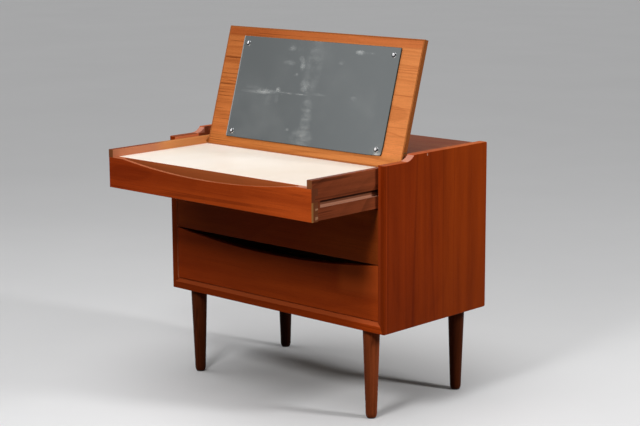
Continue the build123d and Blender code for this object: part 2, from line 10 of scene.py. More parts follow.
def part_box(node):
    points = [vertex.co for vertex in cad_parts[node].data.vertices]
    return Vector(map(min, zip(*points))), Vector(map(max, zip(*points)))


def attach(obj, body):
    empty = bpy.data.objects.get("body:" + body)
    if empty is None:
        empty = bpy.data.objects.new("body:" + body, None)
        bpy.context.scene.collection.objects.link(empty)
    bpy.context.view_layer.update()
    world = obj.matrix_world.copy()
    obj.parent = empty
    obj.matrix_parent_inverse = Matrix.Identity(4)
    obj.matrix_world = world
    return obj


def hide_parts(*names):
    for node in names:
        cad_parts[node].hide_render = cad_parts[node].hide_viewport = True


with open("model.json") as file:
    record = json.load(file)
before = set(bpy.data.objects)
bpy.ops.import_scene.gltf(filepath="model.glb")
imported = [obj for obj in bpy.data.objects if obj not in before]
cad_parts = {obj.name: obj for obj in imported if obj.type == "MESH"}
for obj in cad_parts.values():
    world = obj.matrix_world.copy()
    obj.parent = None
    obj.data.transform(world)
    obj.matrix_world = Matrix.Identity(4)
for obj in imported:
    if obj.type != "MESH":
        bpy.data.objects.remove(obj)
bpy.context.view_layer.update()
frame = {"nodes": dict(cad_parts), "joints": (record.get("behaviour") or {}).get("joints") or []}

bl_info = {
    "name": "Vanity chest",
    "version": (1, 0, 0),
    "blender": (4, 5, 0),
    "location": "View3D > Sidebar > Vanity chest",
    "description": "Finishes, mirror fittings and stage of a teak vanity chest with a hinged mirror lid",
    "category": "Object",
}

nodes = frame["nodes"]
lid_hinge = next(joint for joint in frame["joints"] if joint["name"] == "mirror_lid_hinge")
pivot = np.array(lid_hinge["pos_m"])
# The lid folds level at the end of its range, so it leans back by what is over a right angle.
lean = radians(lid_hinge["range_deg"][1] - 90.0)
lid_up = np.array((0.0, sin(lean), cos(lean)))
lid_out = np.array((0.0, -cos(lean), sin(lean)))

glass_low, glass_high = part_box("mirror_glass")
case_low, case_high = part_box("right_side_panel")
front_low, front_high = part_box("vanity_drawer_front")
lower_front_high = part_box("lower_drawer_front")[1]
board_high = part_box("dressing_board")[1]
rail_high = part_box("front_rail")[1]
back_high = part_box("back_panel")[1]

# Places on the pieces, as distances along x, y or z from their boxes.
case_front, case_side, case_top = case_low[1], case_high[0], case_high[2]
side_inner = case_side - 0.021
edge_joint = case_front + 0.008
step = case_top - 0.016
ledge = (case_front + 0.0015, case_front + 0.08)
curve = (case_front + 0.082, case_front + 0.108)
top_front, top_high = front_low[1], front_high[2]
joint_high = top_high - 0.033
pocket_wall = (top_front + 0.0165, top_front + 0.018)
lip_top = (top_front + 0.0004, top_front + 0.0085)
groove_low, groove_high = top_high - 0.0465, top_high - 0.0305
groove_start = top_front + 0.0278
brass = (0.62, 0.42, 0.17)


# ---- Settings ---------------------------------------------------------------
def setting(kind, **limits):
    """A function that makes a setting of one kind from its name, description and default."""
    return lambda name, description, default: kind(
        name=name, description=description, default=default, min=0, **limits
    )


a_colour = setting(bpy.props.FloatVectorProperty, size=3, max=1, subtype="COLOR")
a_length = setting(bpy.props.FloatProperty, soft_max=1, unit="LENGTH")
a_power = setting(bpy.props.FloatProperty, unit="POWER")
a_strength = setting(bpy.props.FloatProperty, max=2)


class VanityWood(bpy.types.PropertyGroup):
    """Colours of the timber."""

    case_pale: a_colour("Case, pale", "Lighter teak of the case's sides", (0.35, 0.045, 0.004))
    case_deep: a_colour("Case, deep", "Darker stripes of the case's sides", (0.2, 0.022, 0.002))
    front_pale: a_colour("Fronts, pale", "Lighter teak of the drawer fronts", (0.44, 0.062, 0.0078))
    front_deep: a_colour("Fronts, deep", "Darker streaks of the fronts", (0.25, 0.029, 0.0034))
    lid_pale: a_colour("Lid, pale", "Lighter veneer under the mirror", (0.75, 0.25, 0.068))
    lid_deep: a_colour("Lid, deep", "Dark growth lines of that veneer", (0.36, 0.088, 0.018))
    top_pale: a_colour("Top, pale", "Lighter teak of the fixed top", (0.3, 0.084, 0.026))
    leg_pale: a_colour("Legs, pale", "Lighter wood of the turned legs", (0.26, 0.055, 0.016))
    rim_pale: a_colour("Rims, pale", "Lighter wood of the top drawer's sides", (0.35, 0.08, 0.028))
    # Painted highlight on faces that look upward, where the light catches them.
    worn_edge: a_colour("Worn edges", "Rubbed edges that look upward", (0.6, 0.135, 0.04))
    plain_pale: a_colour("Inside timber", "Pale hardwood inside the case", (0.62, 0.36, 0.16))


class VanityMirror(bpy.types.PropertyGroup):
    """Sizes of the mirror's plate and caps."""

    arris: a_length("Arris", "Width of the ground edge of the mirror", 0.0008)
    corner: a_length("Corner radius", "Rounding of the mirror's corners", 0.0025)
    chip: a_length("Chip", "Size of the chipped corner", 0.006)
    cap_radius: a_length("Cap radius", "Radius of a chrome screw cap", 0.007)
    cap_rise: a_length("Cap rise", "Height of a chrome screw cap above the glass", 0.0026)
    cap_skirt: a_length("Cap skirt", "Straight part of a cap's edge", 0.0006)
    silver: a_colour("Silver", "Tint of the mirror's silvering", (0.72, 0.76, 0.76))


class VanityStage(bpy.types.PropertyGroup):
    """Floor, lamps and camera."""

    floor_colour: a_colour("Floor", "Pale floor", (0.8, 0.8, 0.805))
    floor_radius: a_length("Floor radius", "Size of the floor", 40.0)
    ceiling: a_strength("Ceiling light", "Strength of the wide, even light from above", 1.41)
    front_power: a_power("Front soft box", "Power of the soft box in front", 16.5)
    side_power: a_power("Side soft box", "Power of the soft box at the right", 33)
    left_power: a_power("Left soft box", "Power of the soft box at the upper left", 10)
    ambient: a_strength("Ambient", "Strength of the plain surroundings", 0.07)
    reflected: a_strength("Reflected", "Strength that mirror and metal show", 0.22)


# ---- Shader helpers ---------------------------------------------------------
def in_order(operation):
    """A Python operator that makes a Math node of its two operands."""
    return lambda one, other: one.graph.math(operation, one, other)


def swapped(operation):
    """The same, where the Value is the second operand."""
    return lambda one, other: one.graph.math(operation, other, one)


class Value:
    """One output socket in a graph.  Python's operators on it stand for Math nodes."""

    __add__, __radd__ = in_order("ADD"), swapped("ADD")
    __sub__, __rsub__ = in_order("SUBTRACT"), swapped("SUBTRACT")
    __mul__, __rmul__ = in_order("MULTIPLY"), swapped("MULTIPLY")
    __truediv__, __rtruediv__ = in_order("DIVIDE"), swapped("DIVIDE")

    def __init__(self, graph, socket):
        self.graph = graph
        self.socket = socket

    def math(self, operation, *others):
        return self.graph.math(operation, self, *others)


class Graph:
    """The nodes of one material or world."""

    def __init__(self, tree):
        self.tree = tree

    def node(self, kind, settings=None, inputs=None, output=0):
        """Adds a node: its settings first, then values or links for its sockets."""
        made = self.tree.nodes.new(kind)
        for name, value in (settings or {}).items():
            setattr(made, name, value)
        for name, value in (inputs or {}).items():
            self.feed(made.inputs[name], value)
        return None if output is None else Value(self, made.outputs[output])

    def feed(self, socket, value):
        """Links a Value to a socket, or sets a plain number or colour on it."""
        if isinstance(value, Value):
            self.tree.links.new(value.socket, socket)
        elif socket.type == "RGBA":
            socket.default_value = (*tuple(value)[:3], 1.0)
        else:
            socket.default_value = value

    def math(self, operation, *operands):
        return self.node("ShaderNodeMath", {"operation": operation}, dict(enumerate(operands)))

    def place(self):
        """Object coordinates, in metres, because every piece's place is in its mesh."""
        return self.node("ShaderNodeTexCoord", output="Object")

    def facing(self):
        """The direction in which the surface looks, in the same axes."""
        return self.node("ShaderNodeTexCoord", output="Normal")

    def split(self, vector):
        parts = self.node("ShaderNodeSeparateXYZ", inputs={0: vector})
        return [Value(self, output) for output in parts.socket.node.outputs]

    def join(self, x, y, z):
        return self.node("ShaderNodeCombineXYZ", inputs={0: x, 1: y, 2: z})

    def noise(self, vector, scale, detail=2.0, roughness=0.5, distortion=0.0):
        return self.node(
            "ShaderNodeTexNoise",
            inputs={"Vector": vector, "Scale": scale, "Detail": detail,
                    "Roughness": roughness, "Distortion": distortion},
        )

    def ease(self, value, low, high, start=0.0, end=1.0):
        """Smooth step from start at low to end at high."""
        return self.node(
            "ShaderNodeMapRange", {"interpolation_type": "SMOOTHSTEP"},
            {"Value": value, "From Min": low, "From Max": high, "To Min": start, "To Max": end},
        )

    def blend(self, one, other, share, way="MIX"):
        """Mixes two colours by a share from 0 to 1."""
        return self.node(
            "ShaderNodeMix", {"data_type": "RGBA", "blend_type": way, "clamp_factor": True},
            {0: share, 6: one, 7: other}, output=2,
        )

    def bump(self, height, strength, distance):
        return self.node(
            "ShaderNodeBump", inputs={"Strength": strength, "Distance": distance, "Height": height}
        )


class Finish(Graph):
    """A material under construction."""

    def __init__(self, name):
        self.material = bpy.data.materials.new(name)
        self.material.use_nodes = True
        super().__init__(self.material.node_tree)
        self.tree.nodes.clear()

    def surface(self, **sockets):
        """Ends the material with its shader, fed by socket name with _ for a space."""
        inputs = {
            name.replace("_", " ").title().replace("Ior", "IOR"): value
            for name, value in sockets.items()
        }
        shader = self.node("ShaderNodeBsdfPrincipled", inputs=inputs)
        self.node("ShaderNodeOutputMaterial", inputs={"Surface": shader}, output=None)
        return self.material


def scaled(colour, *factors):
    """A colour with each part multiplied by the factor, or by its own of three."""
    return [part * factor for part, factor in zip(colour, factors * 3)]


def lid_place(y, z, direction):
    """Distance from the lid's pivots in a direction square to them."""
    return (y - pivot[1]) * direction[1] + (z - pivot[2]) * direction[2]


# ---- Timber -----------------------------------------------------------------
def grain(finish, axes, length, width, detail=2.0, roughness=0.5, start=0.0):
    """Noise drawn out along the grain: its scale along it, and across and through it."""
    along, across, through = axes
    drawn = finish.join(along * length + start, across * width, through * width)
    return finish.noise(drawn, 1.0, detail, roughness)


def growth_lines(finish, axes, pith, flame, spacing):
    """Late wood of growth rings, as cylinders about a pith behind the face.

    The pith lies `pith` behind the face and wanders along the grain, so that
    the rings cut the face in long flames about `flame`.  A ring rises slowly to
    its dark late wood and falls at once, and each has a strength of its own.
    """
    across, through = axes[1:]
    wander = grain(finish, axes, 1.1, 2.0)
    sway = grain(finish, axes, 2.3, 5.0, start=7.0)
    u = across - flame + (sway - 0.5) * 0.03
    v = through * 0.6 + (wander - 0.5) * 0.16 + pith
    ring = ((u * u + v * v).math("SQRT") + (sway - 0.5) * 0.012) / spacing
    rise = ring.math("FRACT")
    late = finish.ease(rise, 0.35, 0.93) * finish.ease(rise, 0.93, 1.0, 1.0, 0.0)
    share = finish.node(
        "ShaderNodeTexWhiteNoise", {"noise_dimensions": "1D"}, {"W": ring.math("FLOOR")}, output="Value"
    )
    return late * finish.ease(share, 0.1, 1.0, 0.15, 1.0)


def teak(
    name, axes, pale, deep, offset=(0.0, 0.0, 0.0), pith=0.05, flame=0.0, spacing=0.011,
    streaks=0.55, lines=0.45, hairs=0.4, polish=0.4, gloss=0.03, joint=None,
    worn=None, lid=False, fade=None, touches=(),
):
    """Sawn or sliced teak.

    axes names the directions along the grain, across the face and through the
    board.  Under growth lines lie hair lines, which follow the middle level of
    a noise stretched along the grain.  Broad streaks, fine fibres and short
    pores lie on top, and sawn ends are darker and pored.  Each of `touches`
    then changes the colour once more.
    """
    finish = Finish(name)
    coordinates = finish.place()
    x, y, z = finish.split(coordinates)
    if lid:
        y, z = lid_place(y, z, lid_up), lid_place(y, z, lid_out)
    named = {"x": x, "y": y, "z": z}
    board = [named[axis] + shift for axis, shift in zip(axes, offset)]

    dark_line = growth_lines(finish, board, pith, flame + offset[1], spacing)
    broad = grain(finish, board, 1.6, 26.0, 3.0, 0.6)
    fibre = grain(finish, board, 22.0, 620.0, 3.0, 0.6)
    level = grain(finish, board, 0.5, 95.0, 1.0)
    depth = grain(finish, board, 6.0, 24.0)
    pore = finish.ease(grain(finish, board, 120.0, 1500.0, 1.0), 0.62, 0.74)
    hair = finish.ease((level - 0.5).math("ABSOLUTE"), 0.01, 0.034, 1.0, 0.0)
    hair = hair * finish.ease(depth, 0.38, 0.62) * hairs
    shade = finish.ease(broad, 0.32, 0.7)
    if fade:
        # Hair lines and streaks weaken from one place along x to another.
        low, high, least = fade
        keep = finish.ease(x, low, high, 1.0, least)
        hair = hair * keep
        shade = shade * keep + (1.0 - keep) * 0.5

    tone = shade * streaks + dark_line * lines + (fibre - 0.5) * 0.55 + 0.1
    colour = finish.blend(pale, deep, tone.math("MAXIMUM", 0.0).math("MINIMUM", 1.0))
    colour = finish.blend(colour, scaled(deep, 0.6), hair)
    colour = finish.blend(colour, scaled(deep, 0.45), pore * 0.45)

    facing = dict(zip("xyz", finish.split(finish.facing())))
    end = finish.ease(facing[axes[0]].math("ABSOLUTE"), 0.75, 0.95)
    dots = finish.noise(coordinates, 900.0, 1.0)
    end_colour = finish.blend(scaled(deep, 0.62), scaled(pale, 0.75), finish.ease(dots, 0.35, 0.7))
    colour = finish.blend(colour, end_colour, end * 0.85)
    if joint:
        # A thin glued joint between a solid edge strip and the veneer.
        near = (y - joint).math("ABSOLUTE")
        glue = [min(1.0, part) for part in scaled(pale, 1.5)]
        colour = finish.blend(colour, glue, finish.ease(near, 0.0004, 0.0011, 0.65, 0.0))
    if worn:
        # Painted light: faces that look upward take the given colour, a painted highlight on most pieces
        # and painted shade on the storage fronts.
        upward = finish.ease(facing["z"], 0.25, 0.75) * finish.ease(broad, 0.2, 0.8, 0.9, 0.6)
        colour = finish.blend(colour, worn, upward)
    for touch in touches:
        colour = touch(finish, colour, named, facing)
    return finish.surface(
        base_color=colour,
        roughness=finish.ease(fibre, 0.2, 0.8, polish - 0.06, polish + 0.1),
        specular_ior_level=gloss,
        normal=finish.bump(fibre * 0.6 - pore * 0.8, 0.22, 0.00025),
    )


def within(finish, value, low, high, soft):
    """One between low and high, falling to zero over `soft` beyond each.  None is no limit."""
    above = 1.0 if low is None else finish.ease(value, low - soft, low)
    below = 1.0 if high is None else finish.ease(value, high, high + soft, 1.0, 0.0)
    return above * below


def drift(axis, low, high, tint):
    """A touch: the colour is multiplied by a tint that sets in from low to high."""
    def touch(finish, colour, place, facing):
        return finish.blend(colour, tint, finish.ease(place[axis], low, high), "MULTIPLY")
    return touch


def seams(along, across, middle, marks):
    """A touch: long dark or light lines.

    Each mark is the line's place and its shift per metre along the grain from
    `middle`, its half width, its strength and its tint.
    """
    def touch(finish, colour, place, facing):
        sway = finish.noise(finish.join(place[along] * 4.0, 0.0, 0.0), 1.0, 2.0)
        for start, shift, half, strength, tint in marks:
            off = place[across] - start - (place[along] - middle) * shift + (sway - 0.5) * 0.006
            near = finish.ease(off.math("ABSOLUTE"), 0.0, half * 2.6, strength, 0.0)
            colour = finish.blend(colour, tint, near, "MULTIPLY")
        return colour
    return touch


def patch(colour_there, strength, soft, **ranges):
    """A touch: another colour inside a box given as x=(low, high) and so on, with soft edges."""
    def touch(finish, colour, place, facing):
        share = strength
        for axis, (low, high) in ranges.items():
            share = within(finish, place[axis], low, high, soft) * share
        return finish.blend(colour, colour_there, share)
    return touch


def inward(side, colour_there, strength):
    """A touch: another colour on the face of an upright side that looks to the other side."""
    def touch(finish, colour, place, facing):
        turned = facing["x"] * float(-side)
        return finish.blend(colour, colour_there, finish.ease(turned, 0.5, 0.9) * strength)
    return touch


def plain_wood(name, axes, pale, strength=0.35):
    """Pale planed hardwood or ply: fine straight fibres with a little broad variation."""
    finish = Finish(name)
    named = dict(zip("xyz", finish.split(finish.place())))
    board = [named[axis] for axis in axes]
    broad = grain(finish, board, 2.0, 30.0, 3.0)
    fibre = grain(finish, board, 30.0, 700.0)
    tone = finish.ease(broad, 0.3, 0.7) * strength + fibre * 0.35
    return finish.surface(
        base_color=finish.blend(pale, scaled(pale, 0.55), tone),
        roughness=finish.ease(fibre, 0.2, 0.8, 0.55, 0.7),
        specular_ior_level=0.12, normal=finish.bump(fibre, 0.2, 0.0002),
    )


def cover(finish, *names):
    """Gives CAD nodes a finish: the only material of each."""
    for name in names:
        mesh = nodes[name].data
        mesh.materials.clear()
        mesh.materials.append(finish)


# ---- Other finishes ---------------------------------------------------------
def laminate(cream):
    """Cream laminate, faintly mottled and rubbed, on a board with pale raw edges."""
    sheet = 0.0012
    finish = Finish("cream_laminate")
    place = finish.place()
    x, y, z = finish.split(place)
    cloud = finish.noise(place, 5.0, 3.0)
    speck = finish.noise(place, 260.0, 2.0)
    rubbed = finish.noise(finish.join(x * 3.0, y * 9.0, z), 1.0, 4.0, 0.65)
    mottle = finish.ease(cloud, 0.35, 0.75) * 0.6 + speck * 0.1
    top = finish.blend(cream, scaled(cream, 0.93, 0.9, 0.84), mottle)
    # Painted shade: the laminate is darker toward the right, where more lamp light falls.
    top = finish.blend(top, (0.84, 0.8, 0.77), finish.ease(x, -0.3, 0.34), "MULTIPLY")
    core = finish.blend((0.5, 0.33, 0.19), (0.34, 0.21, 0.11), grain(finish, (x, y, z), 40.0, 900.0))
    under = finish.ease(z, board_high[2] - sheet - 0.0002, board_high[2] - sheet + 0.0002, 1.0, 0.0)
    return finish.surface(
        base_color=finish.blend(top, core, under),
        roughness=finish.ease(rubbed, 0.3, 0.7, 0.44, 0.58) + under * 0.15,
        specular_ior_level=0.3,
        normal=finish.bump(speck, 0.05, 0.0001),
    )


def metal(name, colour, roughness):
    """Plain metal with faint cloudy tarnish and fine scratches."""
    finish = Finish(name)
    place = finish.place()
    cloud = finish.noise(place, 90.0, 3.0)
    scratch = finish.noise(place, 1400.0, 2.0)
    return finish.surface(
        base_color=finish.blend(colour, scaled(colour, 0.72), finish.ease(cloud, 0.4, 0.8)),
        metallic=1.0,
        roughness=finish.ease(cloud, 0.3, 0.7, roughness, roughness + 0.1),
        normal=finish.bump(scratch, 0.03, 0.00005),
    )


def cap_chrome():
    """Chrome of the mirror's caps: a painted highlight beside the crown, where the chrome turns white and
    dull, and a painted dark reflection round it.
    """
    glint_right, glint_up = -0.045, 0.075
    finish = Finish("cap_chrome")
    cloud = finish.noise(finish.place(), 300.0, 3.0)
    right, y, z = finish.split(finish.facing())
    off_right = right - glint_right
    off_up = y * lid_up[1] + z * lid_up[2] - glint_up
    away = (off_right * off_right + off_up * off_up).math("SQRT")
    painted_glint = finish.ease(away, 0.14, 0.21, 1.0, 0.0)
    dull = finish.ease(away, 0.17, 0.25) * finish.ease(away, 0.66, 0.86, 1.0, 0.0)
    bright = finish.blend((0.96, 0.96, 0.97), (0.84, 0.85, 0.87), finish.ease(cloud, 0.35, 0.7))
    return finish.surface(
        base_color=finish.blend(bright, (0.06, 0.06, 0.07), dull * 0.92),
        metallic=1.0 - painted_glint * 0.92, roughness=painted_glint * 0.25 + 0.16,
    )


def speckled(name, dark, light, scale, detail, share, roughness, depth):
    """A dull surface of two dark tones, mixed by a fine noise."""
    finish = Finish(name)
    speck = finish.noise(finish.place(), scale, detail)
    return finish.surface(
        base_color=finish.blend(dark, light, finish.ease(speck, *share)),
        roughness=finish.ease(speck, 0.3, 0.7, *roughness),
        normal=finish.bump(speck, 0.1, depth),
    )


def silvering(silver):
    """Old mirror: silvered glass under a veil of smears and rubbed spots, with a painted reflection and a
    painted highlight on its ground edge.

    Each smear is an oval cloud about a place on the glass, broken up by noise:
    one minus its squared distance in its own half widths, times the noise.
    """
    finish = Finish("worn_mirror")
    x, y, z = finish.split(finish.place())
    up = lid_place(y, z, lid_up)
    sheet = finish.join(x, up, 0.0)
    ragged = finish.noise(sheet, 26.0, 5.0, 0.65, 0.8)
    streaked = finish.noise(finish.join(x * 9.0, up * 70.0, 0.0), 1.0, 4.0, 0.6)
    veil = finish.noise(sheet, 5.5, 3.0, 0.6)
    # centre along, centre up, half width, half height, strength
    smears = (
        (-0.093, 0.271, 0.02, 0.012, 0.6), (-0.062, 0.274, 0.012, 0.016, 0.45),
        (-0.051, 0.243, 0.009, 0.009, 1.5), (-0.043, 0.226, 0.01, 0.018, 0.7),
        (-0.092, 0.229, 0.024, 0.008, 0.4), (-0.06, 0.201, 0.008, 0.005, 1.1),
        (-0.025, 0.174, 0.018, 0.018, 0.9), (-0.006, 0.225, 0.034, 0.095, 0.34),
        (-0.114, 0.157, 0.01, 0.007, 1.8), (-0.15, 0.15, 0.06, 0.006, 1.1),
        (-0.19, 0.145, 0.07, 0.005, 0.7), (-0.2, 0.156, 0.04, 0.004, 0.45),
        (-0.06, 0.15, 0.06, 0.0025, 1.0), (0.03, 0.154, 0.028, 0.004, 0.5),
        (-0.115, 0.133, 0.008, 0.016, 0.7), (-0.145, 0.125, 0.012, 0.016, 0.45),
        (-0.004, 0.122, 0.022, 0.022, 0.6), (0.004, 0.084, 0.022, 0.034, 0.62),
        (-0.002, 0.04, 0.045, 0.03, 0.75), (-0.055, 0.056, 0.006, 0.004, 1.1),
        (0.146, 0.271, 0.02, 0.007, 1.2), (0.175, 0.271, 0.02, 0.004, 0.5),
        (0.086, 0.241, 0.01, 0.006, 0.5), (0.151, 0.154, 0.012, 0.006, 0.5),
        (0.262, 0.024, 0.014, 0.008, 1.6), (0.25, 0.034, 0.008, 0.006, 0.7),
    )
    broken = finish.ease(ragged * 0.6 + streaked * 0.4, 0.38, 0.66)
    smears_and_glint = finish.ease(veil, 0.42, 0.8) * 0.1
    for centre_x, centre_up, half_x, half_up, strength in smears:
        one = (x - centre_x) / half_x
        two = (up - centre_up) / half_up
        oval = (1.0 - (one * one + two * two)).math("MAXIMUM", 0.0)
        smears_and_glint = smears_and_glint + oval * broken * (strength * 0.55)
    # Painted highlight: the ground edge at the left is painted pale where it catches the light.
    left_edge = -glass_extent()[0]
    ground = finish.ease(x, left_edge + 0.0042, left_edge + 0.003) * 0.5
    smears_and_glint = smears_and_glint.math("MAXIMUM", ground).math("MINIMUM", 0.85)
    # Painted reflection: the silvering is darker toward the lower left and lighter toward the upper
    # right.
    reflection_slant = finish.ease(x + (up - 0.15) * 0.25, -0.26, 0.26)
    tint = finish.blend(scaled(silver, 0.84), scaled(silver, 1.16), reflection_slant)
    tint = finish.blend(tint, scaled(silver, 0.92), finish.ease(veil, 0.3, 0.7) * 0.3)
    return finish.surface(
        base_color=finish.blend(tint, (0.62, 0.64, 0.63), smears_and_glint),
        metallic=1.0 - smears_and_glint * 0.85,
        roughness=smears_and_glint * 0.45 + 0.035,
    )


# ---- Surfaces ---------------------------------------------------------------
def grid_faces(rows, columns, wrap=False):
    """Four-cornered faces between neighbours of a grid of points, row by row."""
    last = columns if wrap else columns - 1
    row = np.arange(rows - 1)[:, None]
    column = np.arange(last)[None, :]
    following = (column + 1) % columns
    corners = np.stack(
        [row * columns + column, row * columns + following,
         (row + 1) * columns + following, (row + 1) * columns + column], axis=-1,
    )
    return corners.reshape(-1, 4)


def copies(faces, count):
    """The same faces for each of several grids of points, one after another."""
    size = faces.max() + 1
    return (faces + size * np.arange(count)[:, None, None]).reshape(-1, 4)


def make_piece(name, points, faces, finishes, body, stands_for, sharp, finish_of_face=None):
    """A closed mesh from whole arrays, on a body, in place of a CAD node.

    Its seams and poles are welded, its faces turned outward, and its edges
    that turn by more than `sharp` degrees stay crisp.
    """
    weld = 1e-6
    mesh = bpy.data.meshes.new(name)
    mesh.from_pydata(np.reshape(points, (-1, 3)).tolist(), [], [list(map(int, face)) for face in faces])
    for finish in finishes:
        mesh.materials.append(finish)
    if finish_of_face is not None:
        mesh.polygons.foreach_set("material_index", np.asarray(finish_of_face, np.int32))
    shape = bmesh.new()
    shape.from_mesh(mesh)
    bmesh.ops.remove_doubles(shape, verts=shape.verts, dist=weld)
    bmesh.ops.dissolve_degenerate(shape, edges=shape.edges, dist=weld)
    bmesh.ops.recalc_face_normals(shape, faces=shape.faces)
    shape.to_mesh(mesh)
    shape.free()
    if any(edge.is_loose for edge in mesh.edges):
        raise RuntimeError(name + " has loose edges")
    mesh.shade_smooth()
    piece = bpy.data.objects.new(name, mesh)
    bpy.context.scene.collection.objects.link(piece)
    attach(piece, body)
    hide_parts(stands_for)
    bpy.context.view_layer.objects.active = piece
    piece.select_set(True)
    bpy.ops.object.shade_smooth_by_angle(angle=radians(sharp))
    piece.select_set(False)


def screw_places(name, axes, apart):
    """Where the screws of a CAD node are, along two axes: the middle of each one's vertices.

    A screw's vertices are those nearer than `apart` to the first that is left.
    """
    mesh = nodes[name].data
    left = np.empty(3 * len(mesh.vertices))
    mesh.vertices.foreach_get("co", left)
    left = left.reshape(-1, 3) @ np.transpose(axes)
    places = []
    while len(left):
        near = np.hypot(*(left - left[0]).T) < apart
        places.append(tuple((left[near].min(axis=0) + left[near].max(axis=0)) / 2))
        left = left[~near]
    return np.array(sorted(places))


def on_lid(points):
    """Points given along, up and out of the lid's mirror face, in the frame's axes."""
    return pivot + points @ np.array([(1.0, 0.0, 0.0), lid_up, lid_out])


def glass_extent():
    """Half width, lower edge, upper edge and thickness of the glass on the lid.

    The box's lowest corner lies on the back of the glass and its highest on the front.
    """
    thick = 0.004
    half = (glass_high[0] - glass_low[0]) / 2
    lower = (glass_low[2] - pivot[2]) / lid_up[2]
    upper = (glass_high[2] - pivot[2] - thick * lid_out[2]) / lid_up[2]
    return half, lower, upper, thick


def mirror_outline(half, lower, upper, corner, chip):
    """Closed outline of the glass: a rectangle with small round corners.

    Each corner is a quarter circle.  At the lower right one the outline is
    drawn in along its own diagonal by a rounded triangle of height `chip`, and
    a ripple on it gives the shell-like break.
    """
    turns = np.linspace(0, pi / 2, 9)
    centres = np.array([
        (half - corner, upper - corner), (-half + corner, upper - corner),
        (-half + corner, lower + corner), (half - corner, lower + corner),
    ])
    starts = np.array([0.0, pi / 2, pi, 1.5 * pi])
    angle = starts[:, None] + turns[None, :]
    arcs = centres[:, None, :] + corner * np.stack([np.cos(angle), np.sin(angle)], axis=-1)
    outline = arcs.reshape(-1, 2)
    following = np.roll(outline, -1, axis=0)
    steps = np.linspace(0, 1, 12, endpoint=False)[None, :, None]
    outline = (outline[:, None, :] * (1 - steps) + following[:, None, :] * steps).reshape(-1, 2)
    tip = np.array((half, lower))
    away = np.linalg.norm((outline - tip) * np.array((1.0, 0.8)), axis=1)
    pull = np.clip(1 - away / (chip * 1.5), 0, 1)
    ripple = 0.82 + 0.18 * np.sin(away / chip * 14.0)
    outline = outline + (pull * ripple)[:, None] * np.array((-0.62, 0.62)) * chip
    # Points closer together than this are dropped.
    least = 2e-5
    gap = np.linalg.norm(outline - np.roll(outline, 1, axis=0), axis=1)
    return outline[gap > least]


# ---- Operators --------------------------------------------------------------
def side_teak(name, wood, touches, **settings):
    """Quarter-sawn veneer of a case side, with solid wood at its front edge."""
    return teak(
        name, "zyx", wood.case_pale, wood.case_deep, spacing=0.014, joint=edge_joint,
        worn=wood.worn_edge, touches=touches, **settings,
    )


def right_side_teak(wood):
    """The right side has soft dark and pale lines down it, and painted light on its step and front edge.
    """
    dusk, dawn = (0.55, 0.45, 0.45), (1.25, 1.3, 1.35)
    lines = seams("z", "y", 0.45, [
        (0.03, 0.036, 0.0024, 0.42, dusk), (0.095, -0.045, 0.0028, 0.38, dusk),
        (0.138, -0.01, 0.0018, 0.34, dusk), (0.18, 0.0, 0.0014, 0.3, dusk),
        (0.245, 0.01, 0.0013, 0.22, dusk), (-0.005, -0.02, 0.0018, 0.2, dusk),
        (-0.07, 0.0, 0.0014, 0.22, dusk), (-0.0745, 0.0, 0.0012, 0.3, dawn),
        (0.078, -0.01, 0.004, 0.22, dawn), (-0.018, 0.0, 0.005, 0.15, dawn),
    ])
    return side_teak(
        "case_side_right", wood, offset=(0.3, 0.04, 0.0), pith=0.3, flame=0.02, lines=0.12, hairs=0.06,
        touches=[
            lines,
            drift("y", 0.045, 0.02, (0.9, 0.84, 0.9)),
            drift("y", 0.11, 0.15, (1.02, 1.1, 1.0)),
            drift("z", 0.5, 0.24, (0.9, 0.9, 0.95)),
            # The ledge's painted highlight dimmed, a painted highlight on the step's curve, a chip in the
            # upper edge, and the front edge painted paler as painted light.
            patch((0.24, 0.055, 0.018), 0.6, 0.001, x=(None, case_side - 0.003), y=ledge,
                  z=(step, None)),
            patch((0.6, 0.27, 0.19), 0.8, 0.0005, x=(None, case_side - 0.0008), y=curve,
                  z=(step + 0.0005, case_top - 0.0005)),
            patch((0.8, 0.5, 0.36), 0.7, 0.0004, x=(case_side - 0.001, None), y=(0.0742, 0.076),
                  z=(case_top - 0.008, case_top - 0.003)),
            patch((0.35, 0.045, 0.007), 0.9, 0.0008, x=(None, case_side - 0.0125),
                  y=(None, case_front + 0.0018), z=(None, step)),
        ],
    )


def left_side_teak(wood):
    """The left side is painted paler where it looks to the right and darker beside the fixed top: painted
    light, and the lid's painted shadow.
    """
    return side_teak(
        "case_side_left", wood, offset=(1.7, 0.02, 0.4), pith=0.28, flame=0.05,
        streaks=0.5, lines=0.15, hairs=0.25, touches=[
            # Painted light on the face that looks to the right.
            inward(-1, (0.8, 0.27, 0.12), 0.9),
            # The lid's painted shadow beside the fixed top.
            patch((0.11, 0.015, 0.004), 0.85, 0.006, x=(-side_inner - 0.001, None),
                  y=(case_front + 0.09, None)),
            # A painted highlight on the step's curve, and the ledge's painted highlight dimmed.
            patch((0.6, 0.27, 0.19), 0.8, 0.0005, x=(None, -side_inner - 0.0002), y=curve,
                  z=(step + 0.0005, case_top - 0.0005)),
            patch((0.16, 0.035, 0.01), 0.6, 0.001, y=ledge, z=(step, None)),
        ],
    )


def rail_teak(wood):
    """Solid teak, painted lighter toward the right and darker toward the left, with a painted highlight
    on the rail's bevel.
    """
    bevel = rail_high[2] - 0.0098
    return teak(
        "case_rail", "xzy", wood.case_pale, wood.case_deep, offset=(0.2, 0.3, 0.1),
        pith=0.09, spacing=0.008, streaks=0.45, lines=0.3, hairs=0.3, polish=0.38,
        worn=wood.worn_edge, touches=[
            drift("x", -0.1, 0.34, (1.32, 1.25, 1.1)),
            patch((0.4, 0.085, 0.028), 0.3, 0.0004, z=(bevel, None)),
            drift("x", 0.25, 0.34, (1.35, 1.4, 1.55)),
            drift("x", -0.1, -0.34, (0.86, 0.8, 0.75)),
        ],
    )


